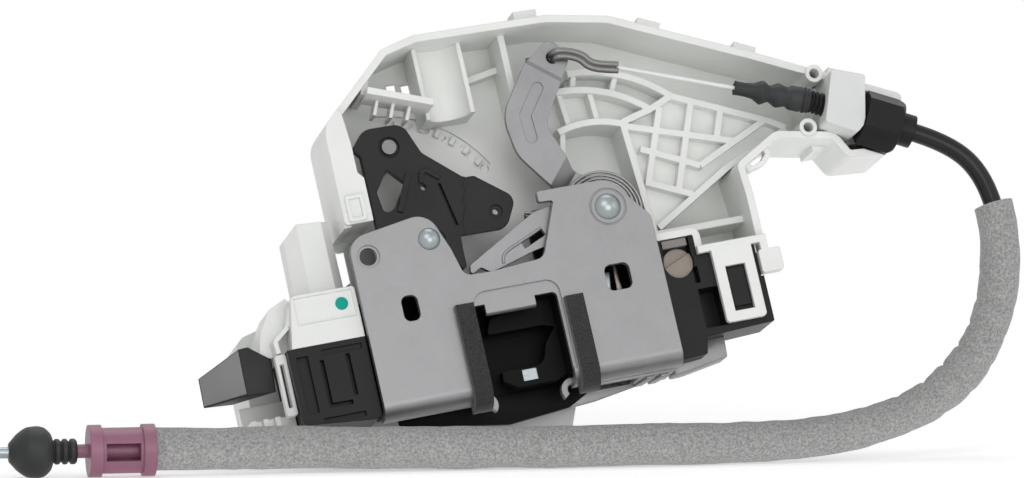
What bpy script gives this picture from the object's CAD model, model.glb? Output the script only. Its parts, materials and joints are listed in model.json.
"""Dresses a vehicle door latch: steel plate, moulded housing, levers and its foam-sleeved cable."""
from __future__ import annotations

import json
import logging
import math
from dataclasses import dataclass
from enum import Enum

import bmesh
import bpy
from mathutils import Matrix, Vector, noise

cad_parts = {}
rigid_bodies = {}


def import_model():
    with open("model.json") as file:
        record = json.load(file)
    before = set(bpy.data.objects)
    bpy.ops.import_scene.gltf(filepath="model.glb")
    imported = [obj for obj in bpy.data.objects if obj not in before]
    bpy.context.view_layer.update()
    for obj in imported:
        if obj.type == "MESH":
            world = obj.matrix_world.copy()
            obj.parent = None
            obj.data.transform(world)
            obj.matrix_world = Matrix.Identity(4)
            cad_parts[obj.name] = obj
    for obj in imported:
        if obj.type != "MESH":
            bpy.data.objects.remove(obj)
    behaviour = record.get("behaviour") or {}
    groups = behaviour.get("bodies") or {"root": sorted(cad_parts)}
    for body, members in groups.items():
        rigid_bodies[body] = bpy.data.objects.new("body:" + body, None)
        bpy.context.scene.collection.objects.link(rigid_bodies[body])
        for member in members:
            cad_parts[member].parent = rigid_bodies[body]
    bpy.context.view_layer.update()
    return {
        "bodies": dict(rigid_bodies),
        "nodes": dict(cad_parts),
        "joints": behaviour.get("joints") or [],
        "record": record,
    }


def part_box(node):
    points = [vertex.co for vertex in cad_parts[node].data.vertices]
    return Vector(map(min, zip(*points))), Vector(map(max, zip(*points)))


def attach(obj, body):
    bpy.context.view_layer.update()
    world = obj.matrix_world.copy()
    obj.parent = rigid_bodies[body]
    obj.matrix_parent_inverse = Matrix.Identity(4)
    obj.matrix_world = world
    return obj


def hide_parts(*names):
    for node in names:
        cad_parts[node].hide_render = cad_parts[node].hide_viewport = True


LOG = logging.getLogger("door_latch")
MM = 0.001
Pair = tuple[float, float]
Spot = tuple[float, float, float]
Outline = tuple[Pair, ...]
Line = tuple[Spot, ...]
Colour = Spot


class Body(str, Enum):
    """The moving groups of the latch."""

    LATCH = "latch"
    PULL_WIRE = "pull_wire"
    KEY = "key_coupler"
    RELEASE = "release_lever"


def add(name: str, data: bpy.types.ID) -> bpy.types.Object:
    """A new object in the scene."""
    made = bpy.data.objects.new(name, data)
    bpy.context.scene.collection.objects.link(made)
    return made


def ease(bm: bmesh.types.BMesh, edges: list, width: float, segments: int = 2) -> None:
    """Bevel some edges of a shape."""
    bmesh.ops.bevel(
        bm, geom=edges, offset=width, offset_type="OFFSET", affect="EDGES", segments=segments,
        profile=0.5, material=-1, clamp_overlap=True)


class Term:
    """A shader socket that takes part in arithmetic."""

    def __init__(self, graph: "Nodes", socket: bpy.types.NodeSocket) -> None:
        """Wrap an output socket of a node tree."""
        self.graph = graph
        self.socket = socket

    def _math(self, operation: str, first: object, second: object) -> "Term":
        """The value of one Math node that joins two Terms or numbers."""
        return self.graph.node("ShaderNodeMath", {"operation": operation}, {0: first, 1: second})

    def __add__(self, other: object) -> "Term":
        """Sum of this and another value."""
        return self._math("ADD", self, other)

    __radd__ = __add__

    def __mul__(self, other: object) -> "Term":
        """Product of this and another value."""
        return self._math("MULTIPLY", self, other)

    __rmul__ = __mul__

    def __sub__(self, other: object) -> "Term":
        """This less another value."""
        return self._math("SUBTRACT", self, other)

    def __rsub__(self, other: object) -> "Term":
        """Another value less this."""
        return self._math("SUBTRACT", other, self)


class Nodes:
    """A shader's node tree."""

    def __init__(self, tree: bpy.types.NodeTree) -> None:
        """Start with the tree emptied."""
        self.tree = tree
        self.tree.nodes.clear()

    def node(self, kind: str, settings: dict | None = None, inputs: dict | None = None,
             output: str | int = 0) -> Term:
        """Add a node.

        Args:
            kind: The node's type.
            settings: Properties, set first; "stops" fills a colour ramp.
            inputs: Values or Terms by socket name or number.
            output: The socket that is returned.

        Returns:
            The chosen output.
        """
        made = self.tree.nodes.new(kind)
        for key, value in (settings or {}).items():
            if key == "stops":
                self._fill_ramp(made.color_ramp, value)
            else:
                setattr(made, key, value)
        for key, value in (inputs or {}).items():
            if isinstance(value, Term):
                self.tree.links.new(value.socket, made.inputs[key])
            else:
                made.inputs[key].default_value = value
        return Term(self, made.outputs[output])

    @staticmethod
    def _fill_ramp(ramp: bpy.types.ColorRamp, stops: list[Pair]) -> None:
        """Set a ramp's grey stops, each a position and a grey level."""
        while len(ramp.elements) < len(stops):
            ramp.elements.new(1.0)
        for element, (position, level) in zip(ramp.elements, stops):
            element.position = position
            element.color = (level, level, level, 1.0)

    def close(self, surface: Term, kind: str = "ShaderNodeOutputMaterial") -> None:
        """Link a shader to the tree's output."""
        target = self.tree.nodes.new(kind)
        self.tree.links.new(surface.socket, target.inputs["Surface"])


class Graph(Nodes):
    """The node tree of one material."""

    def __init__(self, name: str) -> None:
        """Start an empty material of a given name."""
        self.material = bpy.data.materials.new(name)
        self.material.use_nodes = True
        super().__init__(self.material.node_tree)
        self.place = self.node("ShaderNodeTexCoord", output="Object")

    def scaled(self, size: Spot) -> Term:
        """Object coordinates stretched along the axes."""
        return self.node("ShaderNodeMapping", {}, {"Vector": self.place, "Scale": size})

    def grain(self, millimetres: float, detail: float = 3.0, rough: float = 0.55,
              vector: Term | None = None) -> Term:
        """Noise around a half whose features are about a given size."""
        return self.node("ShaderNodeTexNoise", {"noise_dimensions": "3D"}, {
            "Vector": vector or self.place, "Scale": 1.0 / (millimetres * MM),
            "Detail": detail, "Roughness": rough})

    def cells(self, millimetres: float) -> Term:
        """Distance to the nearest of scattered points, for pores and pits."""
        return self.node("ShaderNodeTexVoronoi", {"feature": "F1"}, {
            "Vector": self.place, "Scale": 1.0 / (millimetres * MM)})

    def ramp(self, value: Term, stops: list[Pair]) -> Term:
        """A value remapped through grey stops."""
        return self.node("ShaderNodeValToRGB", {"stops": stops}, {"Fac": value})

    def mixed(self, factor: Term | float, first: Colour | Term, second: Colour | Term) -> Term:
        """A blend of two colours, the factor being how much of the second."""
        pair = [c if isinstance(c, Term) else (*c, 1.0) for c in (first, second)]
        return self.node("ShaderNodeMix", {"data_type": "RGBA"},
                         {0: factor, 6: pair[0], 7: pair[1]}, output=2)

    def bump(self, height: Term, millimetres: float, strength: float = 1.0,
             normal: Term | None = None) -> Term:
        """A normal tipped by a height.

        Args:
            height: The height value.
            millimetres: The height of a full step.
            strength: How much of it is applied.
            normal: A normal to build on.

        Returns:
            The new normal.
        """
        inputs: dict = {"Height": height, "Strength": strength, "Distance": millimetres * MM}
        if normal is not None:
            inputs["Normal"] = normal
        return self.node("ShaderNodeBump", {}, inputs)

    def rounded(self, millimetres: float) -> Term:
        """The normal of edges rounded to a radius."""
        return self.node("ShaderNodeBevel", {"samples": 4}, {"Radius": millimetres * MM})

    def finish(self, sockets: dict) -> bpy.types.Material:
        """Close the tree with a Principled surface of these sockets."""
        self.close(self.node("ShaderNodeBsdfPrincipled", {}, sockets))
        return self.material


@dataclass(frozen=True)
class Fold:
    """A pressed line where a sheet steps back, given as a plane in plate millimetres."""

    through: Spot
    across: Spot
    width: float

    def step(self, g: Graph) -> Term:
        """How far a point lies beyond the fold, from nought to one."""
        stance = Stance()
        across = stance.turn() @ Vector(self.across)
        middle = (stance.matrix() @ Vector(self.through)).dot(across)
        reach = g.node("ShaderNodeVectorMath", {"operation": "DOT_PRODUCT"},
                       {0: g.place, 1: tuple(across)}, output=1)
        return g.ramp((reach - middle) * (0.5 / (self.width * MM)) + 0.5, [(0.0, 0.0), (1.0, 1.0)])


@dataclass(frozen=True)
class Steel:
    """Satin sheet steel with a faint rolled grain, cloudy zinc and fine scratches."""

    name: str
    colour: Colour
    roughness: float = 0.42
    metallic: float = 0.85
    cloud: float = 0.10
    scratch: float = 0.3
    grain_along: Spot = (1.0, 1.0, 0.08)
    edge: float = 0.3
    fold: Fold | None = None

    def material(self) -> bpy.types.Material:
        """Build the material."""
        g = Graph(self.name)
        clouds = g.grain(9.0, 4.0, 0.6)
        streaks = g.grain(0.35, 3.0, 0.6, g.scaled(self.grain_along))
        speckle = g.grain(0.22, 2.0, 0.5)
        lines = g.node("ShaderNodeTexWave", {"wave_type": "BANDS", "bands_direction": "DIAGONAL"}, {
            "Vector": g.scaled((1.0, 1.0, 1.3)), "Scale": 160.0, "Distortion": 14.0, "Detail": 3.0,
            "Detail Scale": 2.0}, output=1)
        rare = g.ramp(g.grain(6.0, 2.0), [(0.50, 0.0), (0.66, 1.0)])
        fine = g.ramp(lines, [(0.0, 1.0), (0.035, 0.0)]) * rare
        dark = tuple(c * (1.0 - 2.2 * self.cloud) for c in self.colour)
        tone = g.mixed(g.ramp(clouds, [(0.3, 0.0), (0.72, 1.0)]), dark, self.colour)
        tone = g.mixed(streaks * (0.9 * self.cloud), tone, (0.9, 0.92, 0.94))
        rough = self.roughness + (clouds - 0.5) * 0.22 + (speckle - 0.5) * 0.12 - fine * 0.12
        height = streaks * 0.4 + speckle * 0.6 - fine * self.scratch
        normal = g.rounded(self.edge)
        if self.fold:
            step = self.fold.step(g)
            normal = g.bump(step, 0.8, 1.0, normal)
            tone = g.mixed(step * (1.0 - step) * 1.6, tone, dark)
        return g.finish({
            "Base Color": tone, "Metallic": self.metallic, "Roughness": rough,
            "Normal": g.bump(height, 0.03, 0.35, normal)})


@dataclass(frozen=True)
class Plastic:
    """Moulded plastic: fine spark-eroded grain, slight cloudiness and soft dirt."""

    name: str
    colour: Colour
    roughness: float = 0.45
    grain: float = 0.35
    height: float = 0.02
    shade: float = 0.05
    specular: float = 0.5
    edge: float = 0.4

    def material(self) -> bpy.types.Material:
        """Build the material."""
        g = Graph(self.name)
        clouds = g.grain(14.0, 3.0, 0.5)
        fine = g.grain(self.grain, 2.0, 0.5)
        dark = tuple(c * (1.0 - self.shade) for c in self.colour)
        lift = tuple(min(1.0, c * (1.0 + self.shade)) for c in self.colour)
        tone = g.mixed(g.ramp(clouds, [(0.32, 0.0), (0.68, 1.0)]), dark, lift)
        rough = self.roughness + (clouds - 0.5) * 0.12 + (fine - 0.5) * 0.10
        return g.finish({
            "Base Color": tone, "Roughness": rough, "Specular IOR Level": self.specular,
            "Normal": g.bump(fine, self.height, 0.5, g.rounded(self.edge))})


@dataclass(frozen=True)
class Foam:
    """Open foam or needled felt: pores, fluff and a speckle of light and dark fibres."""

    name: str
    colour: Colour
    dark: Colour
    pore: float = 0.9
    speckle: float = 0.5
    roughness: float = 0.95
    height: float = 0.25

    def material(self) -> bpy.types.Material:
        """Build the material."""
        g = Graph(self.name)
        pores = g.ramp(g.cells(self.pore), [(0.0, 0.0), (0.45, 1.0)])
        fluff = g.grain(self.speckle, 4.0, 0.7)
        patches = g.grain(7.0, 3.0, 0.55)
        tone = g.mixed(g.ramp(fluff, [(0.34, 0.0), (0.66, 1.0)]), self.dark, self.colour)
        lift = tuple(min(1.0, 1.35 * c) for c in self.colour)
        tone = g.mixed(g.ramp(g.grain(0.3, 2.0), [(0.62, 0.0), (0.74, 1.0)]), tone, lift)
        tone = g.mixed((1.0 - pores) * 0.45, tone, self.dark)
        tone = g.mixed(g.ramp(patches, [(0.35, 0.12), (0.7, 0.0)]), tone, self.dark)
        height = pores * 0.5 + fluff * 0.8
        return g.finish({
            "Base Color": tone, "Roughness": self.roughness, "Specular IOR Level": 0.2,
            "Sheen Weight": 0.25, "Normal": g.bump(height, self.height, 0.8)})


class Finishes:
    """Every finish of the latch, made once.

    After its name and colour a Plastic has roughness, grain size and height in mm, shade and
    specular; a Steel has roughness, metallic and cloud; a Foam has its dark colour, pore and
    speckle size in mm, roughness and height.
    """

    WHITE = Plastic("white_plastic", (0.80, 0.81, 0.785), 0.42, 0.4, 0.012, 0.03, 0.4)
    COVER = Plastic("cover_plastic", (0.70, 0.715, 0.70), 0.5, 0.5, 0.02, 0.04, 0.4)
    BLACK = Plastic("black_plastic", (0.010, 0.010, 0.010), 0.40, 0.45, 0.03, 0.25, 0.18)
    CLAW = Plastic("claw_plastic", (0.005, 0.005, 0.005), 0.45, 0.5, 0.02, 0.25, 0.08)
    CASE = Plastic("case_plastic", (0.006, 0.006, 0.006), 0.5, 0.5, 0.03, 0.25, 0.08)
    ROCKER = Plastic("rocker_plastic", (0.009, 0.009, 0.009), 0.30, 0.5, 0.03, 0.25, 0.24, 0.5)
    GREY_BLACK = Plastic("connector_plastic", (0.016, 0.016, 0.017), 0.42, 0.5, 0.03, 0.3, 0.22)
    RUBBER = Plastic("boot_rubber", (0.026, 0.027, 0.028), 0.5, 0.7, 0.03, 0.25, 0.3)
    SHEATH = Plastic("sheath_plastic", (0.010, 0.010, 0.010), 0.28, 1.2, 0.015, 0.2, 0.25)
    TAUPE = Plastic("taupe_plastic", (0.27, 0.23, 0.195), 0.45, 0.5, 0.02, 0.08)
    MAUVE = Plastic("mauve_plastic", (0.27, 0.110, 0.170), 0.42, 0.5, 0.02, 0.10)
    GREY = Plastic("grey_plastic", (0.20, 0.195, 0.185), 0.45, 0.5, 0.02, 0.08)
    PANEL = Plastic("panel_plastic", (0.22, 0.22, 0.22), 0.35, 0.6, 0.012, 0.05)
    BALL = Plastic("ball_plastic", (0.80, 0.81, 0.82), 0.12, 1.5, 0.006, 0.02, 0.7)
    WIRE = Plastic("wire_coating", (0.78, 0.79, 0.79), 0.2, 0.8, 0.01, 0.05, 0.6)
    GEAR = Plastic("gear_plastic", (0.70, 0.67, 0.58), 0.45, 0.5, 0.02, 0.05)
    PAINT = Plastic("inspection_paint", (0.004, 0.36, 0.27), 0.5, 0.8, 0.03, 0.12, 0.15)
    PLATE = Steel("plate_steel", (0.24, 0.24, 0.244), 0.42, 0.72, 0.06)
    LEVER = Steel("lever_steel", (0.235, 0.235, 0.24), 0.38, 0.75, 0.06)
    BLADE = Steel("blade_steel", (0.235, 0.235, 0.24), 0.38, 0.75, 0.06,
                  fold=Fold((-7.75, 5.0, 44.2), (0.625, 0.0, 0.780), 0.6))
    BACK = Steel("back_steel", (0.28, 0.28, 0.285), 0.45, 0.7, 0.07)
    RIVET = Steel("zinc_rivet", (0.31, 0.34, 0.35), 0.3, 0.8, 0.06)
    PIN = Steel("grey_pin", (0.17, 0.165, 0.16), 0.4, 0.7, 0.08)
    SPRING = Steel("spring_wire", (0.27, 0.27, 0.27), 0.32, 0.8, 0.08)
    HOOK = Steel("hook_wire", (0.17, 0.165, 0.16), 0.35, 0.8, 0.10)
    OLIVE = Steel("olive_steel", (0.15, 0.14, 0.11), 0.35, 0.7, 0.08)
    BRASS = Steel("brass_gear", (0.45, 0.33, 0.15), 0.3, 0.9, 0.06)
    MOTOR = Steel("motor_can", (0.30, 0.30, 0.30), 0.35, 0.8, 0.06)
    SEAL = Foam("seal_foam", (0.056, 0.054, 0.052), (0.020, 0.020, 0.020), 0.8, 0.5, 0.95, 0.2)
    SLEEVE = Foam("sleeve_foam", (0.47, 0.465, 0.46), (0.21, 0.208, 0.205), 1.1, 0.75, 0.95, 0.25)

    NODES: dict = {
        PLATE: ("striker_plate",),
        RIVET: ("lever_rivet", "pawl_rivet", "claw_pin", "claw_core", "guide_insert",
                "cover_screws", "gear_pin", "end_rod"),
        CLAW: ("claw_coat",),
        LEVER: ("pawl", "release_lever"),
        CASE: ("latch_case",),
        BACK: ("back_plate",),
        BLADE: ("cable_lever",),
        SPRING: ("return_spring",),
        ROCKER: ("rocker_lever",),
        PIN: ("rocker_pin",),
        HOOK: ("pull_hook",),
        WIRE: ("pull_wire",),
        RUBBER: ("cable_bellows", "end_boot"),
        BLACK: ("thread_sleeve", "cable_nut", "key_housing", "switch_housing"),
        COVER: ("cable_clamp", "side_cover", "rear_cover"),
        WHITE: ("actuator_housing", "housing_ribs", "housing_guides", "side_cap",
                "socket_dome", "connector_bracket", "clip_loop"),
        TAUPE: ("key_coupler",),
        GREY: ("key_stop",),
        GREY_BLACK: ("connector_shroud",),
        GEAR: ("drive_sector",),
        BRASS: ("motor_pinion",),
        MOTOR: ("lock_motor",),
        PAINT: ("paint_dot",),
        SHEATH: ("cable_sheath",),
        SLEEVE: ("foam_sleeve",),
        MAUVE: ("end_adapter",),
        BALL: ("end_ball",),
        SEAL: ("seal_strip_left", "seal_strip_right"),
    }

    def __init__(self) -> None:
        """Start with no material made."""
        self._made: dict[str, bpy.types.Material] = {}
        self.of_node = {node: finish for finish, nodes in self.NODES.items() for node in nodes}

    def of(self, finish: Steel | Plastic | Foam) -> bpy.types.Material:
        """The material of a finish, made on first use."""
        if finish.name not in self._made:
            self._made[finish.name] = finish.material()
        return self._made[finish.name]


@dataclass
class Stance:
    """The turned pose of the latch, from plate millimetres to row metres."""

    tilt: float = 9.6
    lean: float = 16.0
    shift: Spot = (11.763, -23.7487, 74.6951)

    def turn(self) -> Matrix:
        """The rotation from the plate's frame."""
        return Matrix.Rotation(math.radians(-self.lean), 4, "X") @ Matrix.Rotation(
            math.radians(-self.tilt), 4, "Y")

    def matrix(self) -> Matrix:
        """The whole placement, in metres."""
        return Matrix.Translation(Vector(self.shift) * MM) @ self.turn() @ Matrix.Scale(MM, 4)


class Shop:
    """Makes pieces, gives them their finish and hangs them on their bodies."""

    def __init__(self) -> None:
        """Start with the latch's placement and an empty set of finishes."""
        self.finishes = Finishes()
        self.place = Stance().matrix()

    def dress(self, frame: dict) -> None:
        """Give every node of the loaded frame its finish."""
        for node, made in frame["nodes"].items():
            made.data.materials.clear()
            made.data.materials.append(self.finishes.of(self.finishes.of_node[node]))

    @staticmethod
    def spline(name: str, points: list[Vector], radius: float, round_steps: int = 12,
               length_steps: int = 24) -> bpy.types.Object:
        """A smooth curve led by control points.

        Args:
            name: The curve's name.
            points: Control points.
            radius: The tube's radius, or zero for a bare line.
            round_steps: How finely the tube is rounded.
            length_steps: How finely the curve is divided between its points.

        Returns:
            The curve's object.
        """
        data = bpy.data.curves.new(name, "CURVE")
        data.dimensions = "3D"
        data.resolution_u = length_steps
        data.bevel_depth = radius
        data.bevel_resolution = round_steps
        data.use_fill_caps = radius > 0.0
        line = data.splines.new("NURBS")
        line.points.add(len(points) - 1)
        for spot, place in zip(line.points, points):
            spot.co = (*place, 1.0)
        line.order_u = 3
        line.use_endpoint_u = True
        return add(name, data)

    def wires(self, runs: list[list[Vector]], radius: float,
              length_steps: int = 8) -> bmesh.types.BMesh:
        """Round wires along smooth lines, as one mesh.

        Args:
            runs: The control points of each wire.
            radius: The radius of every wire.
            length_steps: How finely each is divided between its points.

        Returns:
            The wires.
        """
        bm = bmesh.new()
        for number, run in enumerate(runs):
            line = self.spline(f"wire_guide_{number}", run, radius, 6, length_steps)
            mesh = bpy.data.meshes.new_from_object(line)
            bm.from_mesh(mesh)
            bpy.data.objects.remove(line)
            bpy.data.meshes.remove(mesh)
        bmesh.ops.remove_doubles(bm, verts=bm.verts, dist=1e-3)
        return bm

    @staticmethod
    def prism(corners: list[Spot], along: Spot, soften: float) -> bmesh.types.BMesh:
        """A flat outline pulled along a line, its edges softened.

        Args:
            corners: The outline's corners, in plate millimetres.
            along: How far and which way it is pulled.
            soften: The width of its bevelled edges, nought for sharp ones.

        Returns:
            The solid.
        """
        bm = bmesh.new()
        face = bm.faces.new([bm.verts.new(c) for c in corners])
        made = bmesh.ops.extrude_face_region(bm, geom=[face])
        moved = [v for v in made["geom"] if isinstance(v, bmesh.types.BMVert)]
        bmesh.ops.translate(bm, verts=moved, vec=along)
        bmesh.ops.recalc_face_normals(bm, faces=bm.faces)
        if soften:
            ease(bm, list(bm.edges), soften)
        return bm

    def sheet(self, outline: Outline, span: Pair, soften: float) -> bmesh.types.BMesh:
        """A sheet parallel to the plate, from its outline and how deep it starts and ends."""
        front, back = span
        return self.prism([(p, front, q) for p, q in outline], (0.0, back - front, 0.0), soften)

    @staticmethod
    def drum(spot: Pair, radius: float, front: float, back: float,
             soften: float) -> bmesh.types.BMesh:
        """A round post square to the plate.

        Args:
            spot: Its place in the plate.
            radius: Its radius.
            front: How deep it starts.
            back: How deep it ends.
            soften: The width of its bevelled rims.

        Returns:
            The post.
        """
        bm = bmesh.new()
        bmesh.ops.create_cone(
            bm, cap_ends=True, cap_tris=False, segments=48, radius1=radius, radius2=radius,
            depth=back - front)
        rims = [e for e in bm.edges if any(len(f.verts) > 4 for f in e.link_faces)]
        ease(bm, rims, soften, 3)
        place = Matrix.Translation((spot[0], (front + back) / 2.0, spot[1]))
        bmesh.ops.transform(
            bm, matrix=place @ Matrix.Rotation(math.pi / 2.0, 4, "X"), verts=bm.verts)
        return bm

    @staticmethod
    def joined(*parts: bmesh.types.BMesh) -> bmesh.types.BMesh:
        """Several shapes as one."""
        whole = bmesh.new()
        for part in parts:
            mesh = bpy.data.meshes.new("joined_part")
            part.to_mesh(mesh)
            part.free()
            whole.from_mesh(mesh)
            bpy.data.meshes.remove(mesh)
        return whole

    def piece(self, name: str, bm: bmesh.types.BMesh, finish: Steel | Plastic | Foam, body: Body,
              slot: str, replaces: tuple[str, ...] = (), smooth: float = 40.0,
              place: Matrix | None = None) -> bpy.types.Object:
        """Turn a bmesh into a piece of the latch.

        Args:
            name: The piece's name.
            bm: Its shape, freed here.
            finish: Its finish.
            body: The body it rides on.
            slot: The record's material slot.
            replaces: The nodes it stands for.
            smooth: Edges sharper than this many degrees stay sharp.
            place: A placement of the shape; none leaves it as it is.

        Returns:
            The new object.
        """
        if place is not None:
            bmesh.ops.transform(bm, matrix=place, verts=bm.verts)
        bmesh.ops.recalc_face_normals(bm, faces=bm.faces)
        mesh = bpy.data.meshes.new(name)
        bm.to_mesh(mesh)
        bm.free()
        mesh.materials.clear()
        mesh.shade_smooth()
        mesh.set_sharp_from_angle(angle=math.radians(smooth))
        made = add(name, mesh)
        mesh.materials.append(self.finishes.of(finish))
        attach(made, body.value)
        if replaces:
            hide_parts(*replaces)
        LOG.info("piece %s on %s", name, body.value)
        return made


@dataclass
class Cable:
    """The sheathed cable, its foam sleeve and its end, all lying as the photograph shows."""

    shop: Shop
    sheath_radius: float = 0.0028
    foam_radius: float = 0.0062
    length: float = 0.339
    bend: Spot = (0.095, -0.036, 0.055)
    creased: Spot = (0.118, -0.036, 0.0235)
    crease_reach: float = 0.028
    crease_depth: float = 0.0009
    crease_rate: Pair = (380.0, 620.0)
    crease_outside: float = 0.35
    dents: tuple[Pair, ...] = ((55.0, 0.0005), (210.0, 0.00022))
    shrink: float = 0.0002
    route: Line = (
        (0.10766, -0.01444, 0.09554), (0.11911, -0.01543, 0.09209), (0.1292, -0.0180, 0.0825),
        (0.1335, -0.0230, 0.0650), (0.1296, -0.0300, 0.0403), (0.1155, -0.0365, 0.0209),
        (0.0935, -0.0410, 0.0106), (0.0660, -0.0445, 0.0062), (0.0250, -0.0473, 0.0062),
        (-0.0300, -0.0468, 0.0062), (-0.0850, -0.0445, 0.0075), (-0.1264, -0.0445, 0.0075))

    def foam_points(self) -> list[Vector]:
        """The control points of the sleeve, from the middle of the third run on."""
        spots = [Vector(p) for p in self.route]
        return [(spots[2] + spots[3]) / 2.0] + spots[3:]

    def wave(self, spot: Vector, nearest: Vector, out: Vector) -> float:
        """How far the sleeve's skin stands out at a spot.

        Args:
            spot: The spot on the skin.
            nearest: The nearest point of the sleeve's middle line.
            out: The way out from that line.

        Returns:
            The height in metres, below nought in a dent.
        """
        outside, (along_x, along_z) = self.crease_outside, self.crease_rate
        height = sum(noise.noise(spot * often) * high for often, high in self.dents)
        inner = max(0.0, out.dot((Vector(self.bend) - nearest).normalized()))
        crease = max(0.0, math.sin(nearest.z * along_z + nearest.x * along_x)) ** 3
        apart = (nearest - Vector(self.creased)).length / self.crease_reach
        share = outside + (1.0 - outside) * inner
        height -= math.exp(-apart ** 2) * share * crease * self.crease_depth
        return height - self.shrink

    def foam(self) -> bpy.types.Object:
        """The foam sleeve: a soft tube with dents and creases where it bends."""
        guide = self.shop.spline("sleeve_guide", self.foam_points(), 0.0)
        line = bpy.data.meshes.new_from_object(guide)
        spots = [v.co.copy() for v in line.vertices]
        bpy.data.objects.remove(guide)
        tube = self.shop.spline("sleeve_tube", self.foam_points(), self.foam_radius)
        mesh = bpy.data.meshes.new_from_object(tube)
        bpy.data.objects.remove(tube)
        bm = bmesh.new()
        bm.from_mesh(mesh)
        bmesh.ops.remove_doubles(bm, verts=bm.verts, dist=1e-6)
        for vert in bm.verts:
            nearest = min(spots, key=lambda s: (s - vert.co).length_squared)
            out = vert.co - nearest
            if out.length >= 0.8 * self.foam_radius:
                out.normalize()
                vert.co += out * self.wave(vert.co, nearest, out)
        return self.shop.piece(
            "foam_sleeve_skin", bm, Finishes.SLEEVE, Body.LATCH, "foam", ("foam_sleeve",), 60.0)

    def build(self, frame: dict) -> None:
        spots = [Vector(p) for p in self.route]
        sheath = self.shop.spline("cable_sheath_line", spots, self.sheath_radius)
        sheath.data.materials.append(self.shop.finishes.of(Finishes.SHEATH))
        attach(sheath, Body.LATCH.value)
        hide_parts("cable_sheath")
        foam = self.foam()
        LOG.info("cable %d control points", len(spots))

    @property
    def ends(self) -> list[bpy.types.Object]:
        """The pieces at the cable's far end."""
        return [o for o in bpy.data.objects if o.name in ("end_boot_rubber", "end_adapter")]


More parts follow.
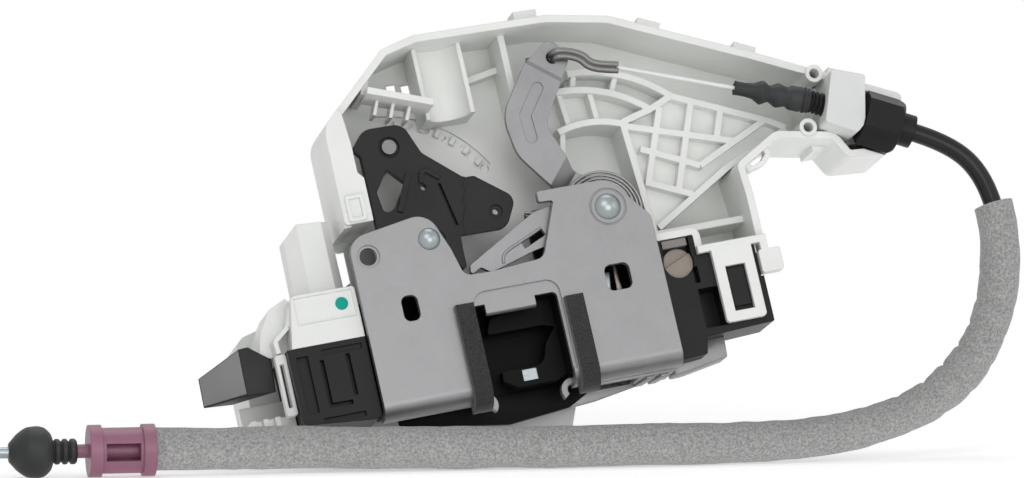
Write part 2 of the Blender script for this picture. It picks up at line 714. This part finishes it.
@dataclass
class Turnings:
    """Round rubber pieces with smooth bulges."""

    shop: Shop
    steps: int = 48
    hook_at: Spot = (-5.0, 3.2, 48.3)
    wire_angle: float = -20.1
    fitting_angle: float = -27.0
    boot_radius: float = 3.7
    bellows_radii: Spot = (2.1, 3.8, 2.4)
    bellows_at: float = 55.6
    bellows_length: float = 23.3

    def revolve(self, sections: list[Pair], place: Matrix) -> bmesh.types.BMesh:
        """Spin a profile about its own axis.

        Args:
            sections: Distance along the axis and radius, in millimetres.
            place: From the profile's X axis to where it lies, metres from millimetres.

        Returns:
            The spun shape.
        """
        bm = bmesh.new()
        row = [bm.verts.new((along, 0.0, max(radius, 0.0))) for along, radius in sections]
        edges = [bm.edges.new(pair) for pair in zip(row, row[1:])]
        bmesh.ops.spin(
            bm, geom=row + edges, cent=(0, 0, 0), axis=(1, 0, 0), dvec=(0, 0, 0),
            angle=math.tau, steps=self.steps, use_merge=True, use_duplicate=False)
        bmesh.ops.remove_doubles(bm, verts=bm.verts, dist=1e-4)
        bmesh.ops.transform(bm, matrix=place, verts=bm.verts)
        return bm

    @staticmethod
    def softened(corners: list[Pair], share: float = 0.3) -> list[Pair]:
        """A profile whose corners are cut to small curves.

        Args:
            corners: The profile's corners.
            share: How much of each side a curve takes.

        Returns:
            The profile with three points at each inner corner.
        """
        line = [corners[0]]
        for before, here, after in zip(corners, corners[1:], corners[2:]):
            a = Vector(here).lerp(Vector(before), share)
            b = Vector(here).lerp(Vector(after), share)
            middle = (a + b) / 4.0 + Vector(here) / 2.0
            line += [tuple(a), tuple(middle), tuple(b)]
        return line + [corners[-1]]

    def boot(self) -> bpy.types.Object:
        """The rubber boot at the cable's end."""
        lo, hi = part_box("end_boot")
        start = Vector((hi.x, (lo.y + hi.y) / 2.0, (lo.z + hi.z) / 2.0))
        place = Matrix.Translation(start) @ Matrix.Scale(MM, 4) @ Matrix.Rotation(math.pi, 4, "Z")
        r = self.boot_radius
        corners = [
            (0.0, 2.1), (0.0, r - 0.6), (0.6, r), (1.8, r), (2.3, r - 0.9), (2.9, r), (4.0, r),
            (4.5, r - 0.9), (5.1, r), (6.2, r), (6.7, r - 0.7), (7.4, r + 1.6), (9.2, 7.0),
            (11.0, 7.5), (14.5, 7.2), (17.2, 5.3), (18.9, r - 0.4), (19.5, r - 1.0), (19.5, 1.72)]
        return self.shop.piece(
            "end_boot_rubber", self.revolve(self.softened(corners), place), Finishes.RUBBER,
            Body.LATCH, "black_rubber", ("end_boot",), 50.0)

    def bellows(self) -> bpy.types.Object:
        """The bellows on the cable's fitting."""
        n, b, v = self.bellows_radii
        corners = [
            (0.0, 1.2), (0.0, n + 0.1), (0.8, n), (3.4, n), (5.8, n + 0.3), (8.4, b), (10.7, v),
            (13.3, b), (16.1, v + 0.5), (17.3, b - 0.1), (20.6, b), (20.8, b - 0.4),
            (21.2, b - 0.4), (21.4, b + 0.1), (22.0, b + 0.1), (22.2, b - 0.3), (22.6, b - 0.3),
            (22.8, b), (self.bellows_length, b - 0.3), (self.bellows_length, 0.0)]
        return self.shop.piece(
            "cable_bellows_rubber",
            self.revolve(
                self.softened(corners, 0.16), self.shop.place @ self.wire_axis(self.bellows_at)),
            Finishes.RUBBER, Body.LATCH, "black_rubber", ("cable_bellows",), 50.0)

    def wire_axis(self, along: float) -> Matrix:
        """A place on the pull wire's line, its X axis towards the fitting."""
        turn = Matrix.Rotation(math.radians(-self.wire_angle), 4, "Y")
        start = Vector(self.hook_at) + along * (turn @ Vector((1, 0, 0)))
        return Matrix.Translation(start) @ turn

    def thread(self) -> bpy.types.Object:
        """The fitting's thread where it shows between the bellows and the clamp."""
        long, crest, root, pitch = 17.0, 3.4, 2.9, 1.3
        corners = [(0.0, 0.0), (0.0, root)]
        for turn in range(int(long / pitch)):
            spot = turn * pitch
            corners += [
                (spot + 0.35 * pitch, crest), (spot + 0.6 * pitch, crest), (spot + pitch, root)]
        corners += [(long, root), (long, 0.0)]
        start = self.wire_axis(self.bellows_at + self.bellows_length).to_translation()
        turned = Matrix.Rotation(math.radians(-self.fitting_angle), 4, "Y")
        local = Matrix.Translation(start) @ turned
        return self.shop.piece(
            "fitting_thread", self.revolve(corners, self.shop.place @ local),
            Finishes.BLACK, Body.LATCH, "black_plastic", ("thread_sleeve",), 30.0)

    def build(self) -> None:
        """Make the boot, the bellows and the thread."""
        self.boot()
        self.bellows()
        self.thread()


@dataclass
class PullHook:
    """The doubled wire that hooks into the cable lever's eye."""

    shop: Shop
    eye: Spot = (-5.0, 0.0, 48.3)
    wire: float = 0.95
    apart: float = 0.9
    line: Line = (
        (-0.2, 6.9, 0.0), (0.0, 4.4, 0.1), (0.9, 3.0, 0.4), (3.4, 2.9, 0.2), (6.6, 3.0, -0.9),
        (8.6, 3.1, -2.2), (10.0, 3.2, -4.2), (12.4, 3.2, -5.4), (15.2, 3.2, -6.1),
        (18.6, 3.2, -6.85))
    tail: Line = (
        (0.0, 6.0, 0.0), (-0.2, 8.3, 0.1), (-2.4, 8.4, 0.2), (-5.0, 8.4, 0.7), (-7.2, 8.4, 1.0))

    def strand(self, side: float) -> list[Vector]:
        """The control points of one of the two wires, its side being one or minus one."""
        spots = [Vector(p) for p in self.line]
        run = []
        for number, spot in enumerate(spots):
            ahead = spots[min(number + 1, len(spots) - 1)] - spots[max(number - 1, 0)]
            across = Vector((-ahead.z, 0.0, ahead.x))
            across = across.normalized() if across.length > 1.0 else Vector((-0.34, 0.0, 0.94))
            run.append(spot + across * (side * self.apart) + Vector(self.eye))
        return run

    def build(self) -> bpy.types.Object:
        """Make the hook."""
        tail = [Vector(p) + Vector(self.eye) for p in self.tail]
        runs = [self.strand(1.0), self.strand(-1.0), tail]
        bm = self.shop.wires(runs, self.wire)
        return self.shop.piece(
            "pull_hook_wire", bm, Finishes.HOOK, Body.PULL_WIRE, "hook_steel",
            ("pull_hook",), 50.0, self.shop.place)


@dataclass
class ReturnSpring:
    """The flat spring of three coils round the lever's rivet, with its doubled leg."""

    shop: Shop
    deep: float = 6.0
    wire: float = 0.42
    inner: float = 9.7
    pitch: float = 1.02
    turns: float = 2.5
    steps: int = 24
    leg_end: Pair = (-23.6, 3.8)

    def coil(self) -> list[Vector]:
        """The control points of the coils and the leg, in plate millimetres."""
        count = int(self.turns * self.steps)
        run = []
        for number in range(count + 1):
            turn = math.tau * number / self.steps
            radius = self.inner + self.pitch * number / self.steps
            run.append(Vector((radius * math.cos(turn), self.deep, radius * math.sin(turn))))
        return run + [Vector((p, self.deep, q)) for p, q in ((-15.5, 1.2), self.leg_end)]

    def build(self) -> bpy.types.Object:
        """Make the spring."""
        leg = [Vector((-14.2, self.deep + 0.9, 0.2)), Vector((-19.0, self.deep + 0.6, 1.5)),
               Vector((self.leg_end[0], self.deep + 0.2, self.leg_end[1] - 0.95))]
        bm = self.shop.wires([self.coil(), leg], self.wire, 3)
        return self.shop.piece(
            "return_spring_coils", bm, Finishes.SPRING, Body.LATCH, "spring_steel",
            ("return_spring",), 60.0, self.shop.place)


@dataclass
class HousingWebs:
    """The floors of the housing's rib cells and the teeth on its curved track."""

    shop: Shop
    cell_span: Pair = (17.6, 19.0)
    fan_front: float = 20.5
    honeycomb: Outline = (
        (14.1, 27.3), (23.8, 29.6), (30.5, 32.2), (59.0, 19.5), (63.2, 16.4), (53.7, 12.3),
        (42.8, 7.9), (18.2, -6.3), (16.0, -7.6))
    fans: tuple[tuple[float, float, float, float], ...] = (
        (28.8, 39.6, 46.0, 107.0), (39.6, 44.6, 46.0, 88.5))
    track_centre: Pair = (-60.5, 4.0)
    track_radius: float = 38.6
    wall_front: float = 28.0
    tooth: Pair = (1.3, 0.8)
    tooth_count: int = 7
    tooth_from: float = 34.0
    tooth_step: float = 7.5

    def fan(self, inner: float, outer: float, start: float, end: float) -> bmesh.types.BMesh:
        """A ring-shaped floor between two arcs of the ribs.

        Args:
            inner: The inner radius about the lever's pivot.
            outer: The outer radius.
            start: Where it starts, in degrees from the plate's length.
            end: Where it ends.

        Returns:
            The floor.
        """
        bm = bmesh.new()
        first = bm.verts.new((inner, self.fan_front, 0.0))
        second = bm.verts.new((outer, self.fan_front, 0.0))
        edge = bm.edges.new((first, second))
        turn = Matrix.Rotation(-math.radians(start), 3, "Y")
        bmesh.ops.rotate(bm, verts=bm.verts, cent=(0, 0, 0), matrix=turn)
        bmesh.ops.spin(
            bm, geom=[first, second, edge], cent=(0, 0, 0), axis=(0, -1, 0), dvec=(0, 0, 0),
            angle=math.radians(end - start), steps=24, use_merge=False, use_duplicate=False)
        bmesh.ops.solidify(bm, geom=list(bm.faces), thickness=1.2)
        return bm

    def teeth(self) -> list[bmesh.types.BMesh]:
        """The blocks along the curved track of the back wall."""
        blocks = []
        half, thick = self.tooth
        for number in range(self.tooth_count):
            turn = math.radians(self.tooth_from + self.tooth_step * number)
            spot = (self.track_centre[0] + self.track_radius * math.cos(turn),
                    self.track_centre[1] + self.track_radius * math.sin(turn))
            across = (math.cos(turn), math.sin(turn))
            corners = [
                (spot[0] + a * across[0] - b * across[1], self.wall_front - 1.3,
                 spot[1] + a * across[1] + b * across[0])
                for a, b in ((-half, -thick), (half, -thick), (half, thick), (-half, thick))]
            blocks.append(self.shop.prism(corners, (0.0, 1.5, 0.0), 0.25))
        return blocks

    def build(self) -> bpy.types.Object:
        """Make the floors and teeth."""
        floor = self.shop.sheet(self.honeycomb, self.cell_span, 0.0)
        parts = [floor] + [self.fan(*fan) for fan in self.fans] + self.teeth()
        return self.shop.piece(
            "housing_webs", self.shop.joined(*parts), Finishes.WHITE, Body.LATCH,
            "white_plastic", (), 35.0, self.shop.place)


@dataclass
class KeyDrum:
    """The taupe drum that the key's rod turns, with its slanted step."""

    shop: Shop
    spot: Pair = (18.7, -19.6)
    radius: float = 4.6
    front: float = 6.0
    step: float = 0.8
    back: float = 18.0
    slant: float = 22.0

    def half(self, front: float, upper: bool) -> bmesh.types.BMesh:
        """The part of the drum above or below the step, its front at a given depth."""
        bm = self.shop.drum(self.spot, self.radius, front, self.back, 0.25)
        turn = math.radians(self.slant)
        normal = Vector((-math.sin(turn), 0.0, math.cos(turn)))
        through = Vector((self.spot[0], front, self.spot[1] + 0.9))
        cut = bmesh.ops.bisect_plane(
            bm, geom=bm.verts[:] + bm.edges[:] + bm.faces[:], dist=1e-5, plane_co=through,
            plane_no=normal, clear_inner=upper, clear_outer=not upper)
        rim = [e for e in cut["geom_cut"] if isinstance(e, bmesh.types.BMEdge)]
        bmesh.ops.holes_fill(bm, edges=rim, sides=0)
        return bm

    def build(self) -> bpy.types.Object:
        """Make the drum."""
        upper, lower = self.half(self.front + self.step, True), self.half(self.front, False)
        whole = self.shop.joined(upper, lower)
        return self.shop.piece(
            "key_drum", whole, Finishes.TAUPE, Body.KEY, "taupe_plastic", ("key_coupler",),
            30.0, self.shop.place)


@dataclass
class PlugShroud:
    """The slanted box of the electrical connector, narrower at its open end."""

    shop: Shop
    front: float = 11.0
    reach: Spot = (-11.8, 9.35, -4.9)
    rise: float = 5.0
    face: Outline = (
        (-115.6, -33.8), (-107.2, -34.4), (-106.4, -24.6), (-107.6, -23.8), (-112.6, -19.8),
        (-115.4, -20.0))

    def box(self) -> bmesh.types.BMesh:
        """The box with its hollow end."""
        bm = self.shop.prism([(p, self.front, q) for p, q in self.face], self.reach, 0.0)
        far = [v for v in bm.verts if v.co.y > self.front + 1.0]
        lower = [v for v in far if v.co.z < -30.0]
        bmesh.ops.translate(bm, verts=lower, vec=(0.0, 0.0, self.rise))
        end = [f for f in bm.faces if all(v.co.y > self.front + 1.0 for v in f.verts)]
        bmesh.ops.inset_region(bm, faces=end, thickness=0.9)
        hollow = [v for v in end[0].verts]
        bmesh.ops.translate(bm, verts=hollow, vec=tuple(-0.7 * r for r in self.reach))
        ease(bm, [e for e in bm.edges if e.calc_length() > 2.0], 0.3)
        return bm

    def side(self) -> bmesh.types.BMesh:
        """The smooth panel on the box's outer side."""
        low, high = self.face[0], self.face[-1]
        x, y, z = self.reach
        corners = [
            (low[0] - 0.1, self.front + 0.1, low[1] + 0.4),
            (high[0] - 0.1, self.front + 0.1, high[1] - 0.4),
            (high[0] + 0.96 * x - 0.1, self.front + 0.96 * y, high[1] + 0.96 * z - 0.4),
            (low[0] + 0.96 * x - 0.1, self.front + 0.96 * y, low[1] + 0.96 * (z + self.rise) + 0.4)]
        return self.shop.prism(corners, (-0.25, -0.25, 0.0), 0.1)

    def build(self) -> None:
        """Make the box and its panel."""
        place = self.shop.place
        self.shop.piece(
            "plug_shroud", self.box(), Finishes.GREY_BLACK, Body.LATCH, "black_plastic",
            ("connector_shroud",), 30.0, place)
        self.shop.piece(
            "plug_shroud_side", self.side(), Finishes.PANEL, Body.LATCH, "grey_plastic",
            (), 30.0, place)


@dataclass
class Underside:
    """What shows below the face plate: pressed steel, a bright foot and the mouth's black skirt."""

    shop: Shop
    level: float = -46.9
    drop: float = 3.7
    strip: Outline = (
        (-12.6, 9.0), (11.3, 9.0), (11.3, 22.4), (-12.6, 22.4), (-12.6, 20.8), (0.4, 20.8),
        (0.4, 9.9), (-12.6, 9.9))
    ridges: tuple[float, ...] = (2.4, 6.8)
    ridge_size: Spot = (2.8, 1.6, 0.9)
    ridge_span: Pair = (10.2, 21.2)
    tail_span: Pair = (20.8, 22.3)
    foot_span: Pair = (12.6, 21.0)
    skirt_span: Pair = (18.6, 20.4)
    foot: Outline = (
        (11.8, -51.3), (16.0, -51.1), (29.0, -48.9), (29.4, -42.6), (24.6, -41.2), (22.9, -45.0),
        (12.0, -46.4))
    tail: Outline = (
        (-38.5, -55.3), (-11.7, -53.3), (3.6, -50.9), (3.6, -46.9), (-30.0, -46.9))
    skirt: Outline = (
        (-72.0, -46.4), (-13.7, -46.4), (-13.7, -50.6), (-20.1, -53.9), (-39.0, -55.6),
        (-71.6, -50.4))

    def pressed(self) -> bmesh.types.BMesh:
        """The strip under the case with its slanted ridges and the sheet behind the mouth."""
        corners = [(p, d, self.level) for p, d in self.strip]
        low = self.level - self.drop
        parts = [self.shop.sheet(self.tail, self.tail_span, 0.4),
                 self.shop.prism(corners, (0.0, 0.0, -self.drop), 0.3)]
        (wide, slant, high), (front, back), top = self.ridge_size, self.ridge_span, low + 0.1
        for left in self.ridges:
            ridge = [(left, front, top), (left + wide, front, top),
                     (left + wide - slant, back, top), (left - slant, back, top)]
            parts.append(self.shop.prism(ridge, (0.0, 0.0, -high), 0.35))
        return self.shop.joined(*parts)

    def build(self) -> None:
        """Make the three pieces."""
        place = self.shop.place
        foot = self.shop.sheet(self.foot, self.foot_span, 0.6)
        skirt = self.shop.sheet(self.skirt, self.skirt_span, 0.4)
        for name, shape, finish, slot in (
                ("under_strip", self.pressed(), Finishes.BACK, "back_steel"),
                ("under_foot", foot, Finishes.BACK, "back_steel"),
                ("mouth_skirt", skirt, Finishes.CASE, "black_plastic")):
            self.shop.piece(name, shape, finish, Body.LATCH, slot, (), 35.0, place)


@dataclass
class SmallSteel:
    """Pressed bead of the release lever and the springs seen through the plate's window."""

    shop: Shop
    bead: Outline = (
        (-34.0, -10.6), (-33.9, -8.4), (-31.8, -6.9), (-27.0, -4.9), (-20.6, -2.2))
    bead_front: float = 3.05
    bead_radius: float = 0.5
    tab: Outline = (
        (-5.2, -23.4), (-3.2, -23.7), (-2.4, -18.5), (-4.4, -18.2))
    blade: Outline = (
        (-1.5, -24.4), (0.5, -24.6), (0.0, -21.3), (-0.2, -17.0), (-1.1, -16.6), (-1.3, -20.5))
    span: Pair = (6.0, 6.8)

    def build(self) -> None:
        """Make the three pieces."""
        place = self.shop.place
        line = [Vector((p, self.bead_front, q)) for p, q in self.bead]
        self.shop.piece(
            "release_lever_bead", self.shop.wires([line], self.bead_radius), Finishes.LEVER,
            Body.RELEASE, "lever_steel", (), 60.0, place)
        for name, outline, finish in (("window_tab", self.tab, Finishes.RIVET),
                                      ("window_blade", self.blade, Finishes.OLIVE)):
            shape = self.shop.sheet(outline, self.span, 0.2)
            self.shop.piece(name, shape, finish, Body.LATCH, "spring_steel", (), 35.0, place)


@dataclass
class Studio:
    """The plain pale room: camera, soft lamps and floor."""

    distance: float = 1.5
    azimuth: float = -12.0
    elevation: float = 3.4
    width: float = 0.3012
    floor_near: float = 0.16
    floor_far: float = 0.45
    surround: float = 0.33
    target: Spot = (-0.0172, -0.0238, 0.0654)
    lamp_size: float = 0.9
    lamps: tuple[tuple[str, Spot, float], ...] = (
        ("key_lamp", (-0.5, -1.1, 1.05), 4.6), ("front_lamp", (0.15, -1.7, 0.35), 7.0),
        ("fill_lamp", (1.1, -0.9, 0.6), 1.6), ("top_lamp", (0.1, 0.5, 1.4), 4.8))

    def camera(self) -> None:
        """Put the camera at the photograph's angle."""
        a, e = math.radians(self.azimuth), math.radians(self.elevation)
        back = Vector((math.sin(a) * math.cos(e), -math.cos(a) * math.cos(e), math.sin(e)))
        data = bpy.data.cameras.new("photo_camera")
        data.sensor_width = 36.0
        data.lens = 36.0 * self.distance / self.width
        data.clip_start = 0.01
        data.clip_end = 20.0
        made = add("photo_camera", data)
        made.rotation_mode = "QUATERNION"
        made.location = Vector(self.target) + back * self.distance
        made.rotation_quaternion = (-back).to_track_quat("-Z", "Y")
        bpy.context.scene.camera = made

    def lamp(self, name: str, spot: Spot, watts: float) -> None:
        """A soft square lamp of some watts that faces the latch from its spot."""
        data = bpy.data.lights.new(name, "AREA")
        data.size = self.lamp_size
        data.energy = watts
        made = add(name, data)
        made.location = spot
        made.rotation_mode = "QUATERNION"
        made.rotation_quaternion = (Vector((0, 0, 0.05)) - Vector(spot)).to_track_quat("-Z", "Y")

    def floor(self) -> None:
        """The pale floor."""
        bm = bmesh.new()
        bmesh.ops.create_grid(bm, x_segments=1, y_segments=1, size=6.0)
        bmesh.ops.transform(bm, matrix=Matrix.Translation((0, 3.0, -0.0002)), verts=bm.verts)
        mesh = bpy.data.meshes.new("studio_floor")
        bm.to_mesh(mesh)
        bm.free()
        g = Graph("floor_paper")
        paper = g.node("ShaderNodeBsdfDiffuse", {}, {"Color": (0.92, 0.92, 0.92, 1.0)})
        glow = g.node("ShaderNodeEmission", {}, {"Color": (1.0, 1.0, 1.0, 1.0), "Strength": 0.42})
        near = g.node("ShaderNodeAddShader", {}, {0: paper, 1: glow})
        white = g.node("ShaderNodeEmission", {}, {"Color": (1.0, 1.0, 1.0, 1.0), "Strength": 1.0})
        reach = g.node("ShaderNodeVectorMath", {"operation": "LENGTH"}, {0: g.place}, output=1)
        seen = g.node("ShaderNodeLightPath", output="Is Camera Ray")
        shiny = g.node("ShaderNodeLightPath", output="Is Glossy Ray")
        through = g.node("ShaderNodeLightPath", output="Is Transmission Ray")
        far = g.ramp(reach, [(self.floor_near, 0.0), (self.floor_far, 1.0)]) * (
            seen + shiny + through)
        g.close(g.node("ShaderNodeMixShader", {}, {0: far, 1: near, 2: white}))
        mesh.materials.append(g.material)
        add("studio_floor", mesh)

    def world(self) -> None:
        """A pale surround that the camera and shiny surfaces see as white."""
        room = bpy.data.worlds.new("studio_surround")
        bpy.context.scene.world = room
        room.use_nodes = True
        g = Nodes(room.node_tree)
        seen = g.node("ShaderNodeLightPath", output="Is Camera Ray")
        for output in ("Is Transmission Ray", "Is Glossy Ray"):
            ray = g.node("ShaderNodeLightPath", output=output)
            seen = g.node("ShaderNodeMath", {"operation": "MAXIMUM"}, {0: seen, 1: ray})
        lit = g.node("ShaderNodeBackground", {}, {
            "Color": (0.98, 0.985, 1.0, 1.0), "Strength": self.surround})
        white = g.node("ShaderNodeBackground", {}, {"Color": (1.0, 1.0, 1.0, 1.0)})
        mixed = g.node("ShaderNodeMixShader", {}, {0: seen, 1: lit, 2: white})
        g.close(mixed, "ShaderNodeOutputWorld")

    def build(self) -> None:
        """Set the whole room."""
        bpy.context.scene.view_settings.view_transform = "Standard"
        self.camera()
        self.floor()
        self.world()
        for lamp in self.lamps:
            self.lamp(*lamp)
        LOG.info("studio set")


def main() -> None:
    """Load the frame, dress the latch and write its sizes."""
    logging.basicConfig(level=logging.INFO, format="%(message)s")
    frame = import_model()
    Studio().build()
    shop = Shop()
    shop.dress(frame)
    for part in (Turnings, PullHook, ReturnSpring, HousingWebs, KeyDrum, PlugShroud, Underside,
                 SmallSteel):
        part(shop).build()
    Cable(shop).build(frame)


if __name__ == "__main__":
    main()
